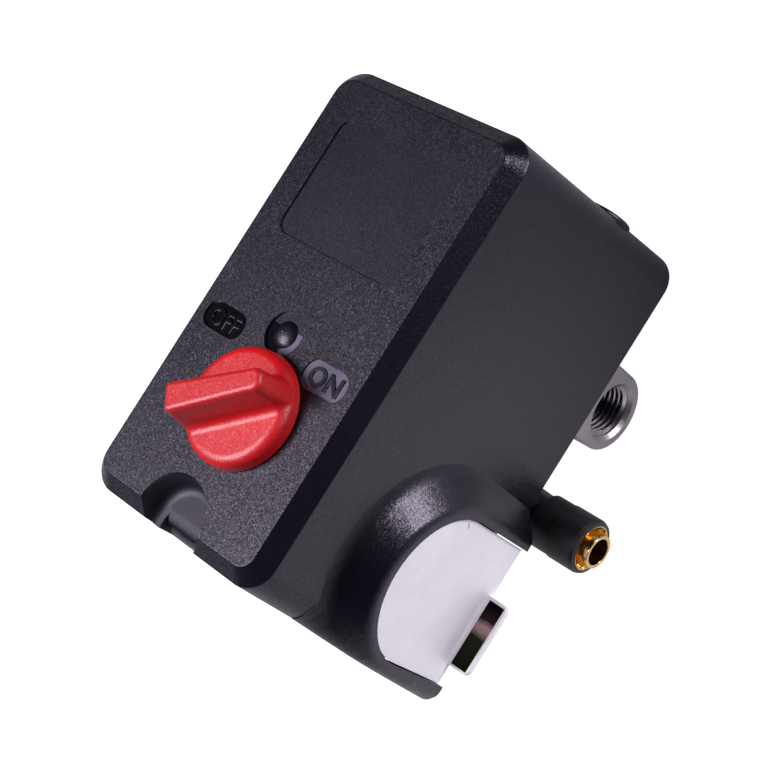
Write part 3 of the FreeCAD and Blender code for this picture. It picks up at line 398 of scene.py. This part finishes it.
def thread(name, axis, at, length, root, crest, pitch, mat, seg=96):
    """Helical 60-degree ridge inside a bore. It starts at `at` and runs `length` along axis (mm)."""
    bm = bmesh.new()
    ax = Vector(axis).normalized()
    u = ax.orthogonal().normalized()
    w = ax.cross(u)
    turns = (length - pitch) / pitch
    n = int(turns * seg)
    prev = None
    half_root, half_crest = 0.47 * pitch, 0.07 * pitch
    for k in range(n + 1):
        t = k / seg
        fade = min(1.0, t / 0.35, (turns - t) / 0.35)
        h0 = pitch * (0.5 + t)
        c = root - (root - crest) * max(fade, 0.02)
        hr = half_crest + (half_root - half_crest) * max(fade, 0.05)
        d = math.cos(2 * math.pi * t) * u + math.sin(2 * math.pi * t) * w
        ring = []
        for r, h in ((root + 0.06, -hr), (c, -half_crest * fade), (c, half_crest * fade), (root + 0.06, hr)):
            ring.append(bm.verts.new([(Vector(at)[i] + ax[i] * (h0 + h) + d[i] * r) * MM for i in range(3)]))
        if prev:
            for i in range(4):
                j = (i + 1) % 4
                bm.faces.new((prev[i], prev[j], ring[j], ring[i]))
        else:
            bm.faces.new(ring[::-1])
        prev = ring
    bm.faces.new(prev)
    bmesh.ops.recalc_face_normals(bm, faces=bm.faces)
    o = mesh_object(name, bm, mat)
    m = o.modifiers.new("edges", "EDGE_SPLIT")
    m.split_angle = math.radians(40)
    return o


def raised_text(name, text, centre, height, depth, mat, stretch=1.0):
    c = bpy.data.curves.new(name, "FONT")
    c.body, c.size = text, height * MM * 1.38
    c.align_x, c.align_y = "CENTER", "CENTER"
    c.extrude, c.bevel_depth, c.bevel_resolution = depth * MM / 2, 0.06 * MM, 2
    c.offset = 0.09 * MM
    c.space_character = 1.06
    tmp = bpy.data.objects.new(name + "_t", c)
    scene.collection.objects.link(tmp)
    bpy.context.view_layer.update()
    me = bpy.data.meshes.new_from_object(tmp.evaluated_get(bpy.context.evaluated_depsgraph_get()))
    bpy.data.objects.remove(tmp)
    me.name = name
    xs = [v.co.x for v in me.vertices]
    ys = [v.co.y for v in me.vertices]
    mid = Vector(((min(xs) + max(xs)) / 2, (min(ys) + max(ys)) / 2, 0))
    for v in me.vertices:
        q = v.co - mid
        v.co = Vector((q.x * stretch + centre[0] * MM, q.y + centre[1] * MM, q.z + centre[2] * MM))
    me.materials.clear()
    me.materials.append(mat)
    o = bpy.data.objects.new(name, me)
    scene.collection.objects.link(o)
    return o


def mesh_object(name, bm, mat=None, smooth=True):
    me = bpy.data.meshes.new(name)
    bm.normal_update()
    bm.to_mesh(me)
    bm.free()
    for p in me.polygons:
        p.use_smooth = smooth
    o = bpy.data.objects.new(name, me)
    scene.collection.objects.link(o)
    if mat:
        me.materials.append(mat)
    return o


# painted light and shade: the ON letters are a lighter grey and the OFF letters near-black, lit and shaded copies of
# one moulding
M["legend_on"] = black_plastic("legend_raised_grey", base=(0.012, 0.011, 0.017), grain=0.15, rough=0.30)
M["legend_off"] = black_plastic("legend_raised_black", base=(0.003, 0.0027, 0.004), grain=0.15, rough=0.24)
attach(raised_text("legend_on", "ON", (16.0, -30.6, 96.62), 4.3, 0.36, M["legend_on"], 0.98), "root")
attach(raised_text("legend_off", "OFF", (-16.4, -30.4, 96.62), 4.0, 0.36, M["legend_off"], 0.92), "root")
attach(lathe("dome_pip", [(0, 0.10), (0.16, 0.08), (0.26, 0.17), (0.40, 0.21), (0.56, 0.12), (0.66, -0.06), (0.5, -0.3), (0, -0.3)],
              48, M["black"], at=(0, -26.5, 97.46)), "root")
def notch_cheek(name, side):
    """Fills the corner beside the notch's rolled-off floor, so that the rounded foot runs out to the end wall."""
    bm = bmesh.new()
    rows = []
    n = 14
    for k in range(n + 1):
        a = math.pi / 2 * k / n
        y, z = -70.1 - 5.0 * math.sin(a), 91.0 - 5.0 + 5.0 * math.cos(a)
        drop = 91.0 - z
        inner = 5.75 - min(0.9, 0.45 * drop)
        skin = -74.93 - 0.06 * drop
        y = max(y, skin + 0.004)
        pts = [(8.06, y, 91.06), (8.06, y, z - 0.05), (inner, y, z - 0.05),
               (5.60 - 0.35 * (5.75 - inner), y, 91.0 - 0.55 * drop), (5.80, y, 91.03)]
        rows.append([bm.verts.new((side * p * MM, q * MM, r * MM)) for p, q, r in pts])
    for a, b in zip(rows, rows[1:]):
        for i in range(5):
            j = (i + 1) % 5
            bm.faces.new((a[i], a[j], b[j], b[i]))
    bm.faces.new(rows[0])
    bm.faces.new(rows[-1][::-1])
    bmesh.ops.recalc_face_normals(bm, faces=bm.faces)
    o = mesh_object(name, bm, M["cover"])
    m = o.modifiers.new("edges", "EDGE_SPLIT")
    m.split_angle = math.radians(50)
    return o


for nm, side in (("notch_cheek_left", -1), ("notch_cheek_right", 1)):
    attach(notch_cheek(nm, side), "root")
for nm, axis, at, ln in (("thread_right", (1, 0, 0), (17.2, 0, 18.8), 12.3), ("thread_left", (-1, 0, 0), (-17.2, 0, 18.8), 12.3),
                         ("thread_rear", (0, 1, 0), (0, 17.2, 18.8), 12.3), ("thread_inlet", (0, 0, -1), (0, 0, 10.8), 10.6)):
    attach(thread(nm, axis, at, ln, 6.46, 5.72, 1.34, M["thread"]), "root")

# ---------------------------------------------------------------- stage and light
bm = bmesh.new()
s = 3.0
vs = [bm.verts.new(c) for c in ((-s, -s, -0.0005), (s, -s, -0.0005), (s, s, -0.0005), (-s, s, -0.0005))]
bm.faces.new(vs)
fn = Net("floor_white")
fp = fn.split(fn.pos)
dx, dy = fn.math("SUBTRACT", fp[0], 0.075), fn.math("SUBTRACT", fp[1], -0.045)
dist = fn.math("SQRT", fn.math("ADD", fn.math("MULTIPLY", dx, dx), fn.math("MULTIPLY", dy, dy)))
glow = fn.range(dist, 0.025, 0.105, 0.50, 0.03, kind="SMOOTHSTEP")
sight = fn.node("ShaderNodeLightPath").outputs["Is Camera Ray"]
fn.set(color=fn.mix(fn.noise(3.0), (0.30, 0.30, 0.305), (0.32, 0.32, 0.325)), rough=0.9, spec=0.1)
fn.bsdf.inputs["Emission Color"].default_value = (1.0, 0.985, 1.03, 1)
fn.put(fn.bsdf.inputs["Emission Strength"], fn.lerp(sight, glow, 0.95))
mesh_object("floor", bm, fn.mat, smooth=False)

world = bpy.data.worlds.new("studio")
scene.world = world
world.use_nodes = True
wn = world.node_tree
bg = wn.nodes["Background"]
bg.inputs["Color"].default_value = (0.95, 0.95, 1.0, 1)
bg.inputs["Strength"].default_value = 0.006
pale = wn.nodes.new("ShaderNodeBackground")
pale.inputs["Color"].default_value = (0.93, 0.93, 0.94, 1)
path = wn.nodes.new("ShaderNodeLightPath")
pick = wn.nodes.new("ShaderNodeMixShader")
wn.links.new(path.outputs["Is Camera Ray"], pick.inputs[0])
wn.links.new(bg.outputs[0], pick.inputs[1])
wn.links.new(pale.outputs[0], pick.inputs[2])
wn.links.new(pick.outputs[0], wn.nodes["World Output"].inputs[0])

AIM = Vector((0.0, -0.02, 0.06))


def softbox(name, direction, dist, size, radiance, color=(1, 1, 1), size_y=None):
    """A square panel whose face has the given radiance, looking at the object."""
    d = bpy.data.lights.new(name, "AREA")
    d.color, d.size = color, size
    d.energy = radiance * math.pi * size * (size_y or size)
    if size_y:
        d.shape, d.size_y = "RECTANGLE", size_y
    o = bpy.data.objects.new(name, d)
    scene.collection.objects.link(o)
    v = Vector(direction).normalized()
    o.location = AIM + v * dist
    o.rotation_mode = "QUATERNION"
    o.rotation_quaternion = (-v).to_track_quat("-Z", "Y")
    return o


softbox("softbox_over", (-0.28, -0.43, 0.86), 1.0, 0.50, 20.0, (1.0, 0.965, 1.09))
softbox("softbox_right", (0.70, 0.66, 0.25), 0.9, 0.36, 16.0, (1.0, 0.965, 1.09))
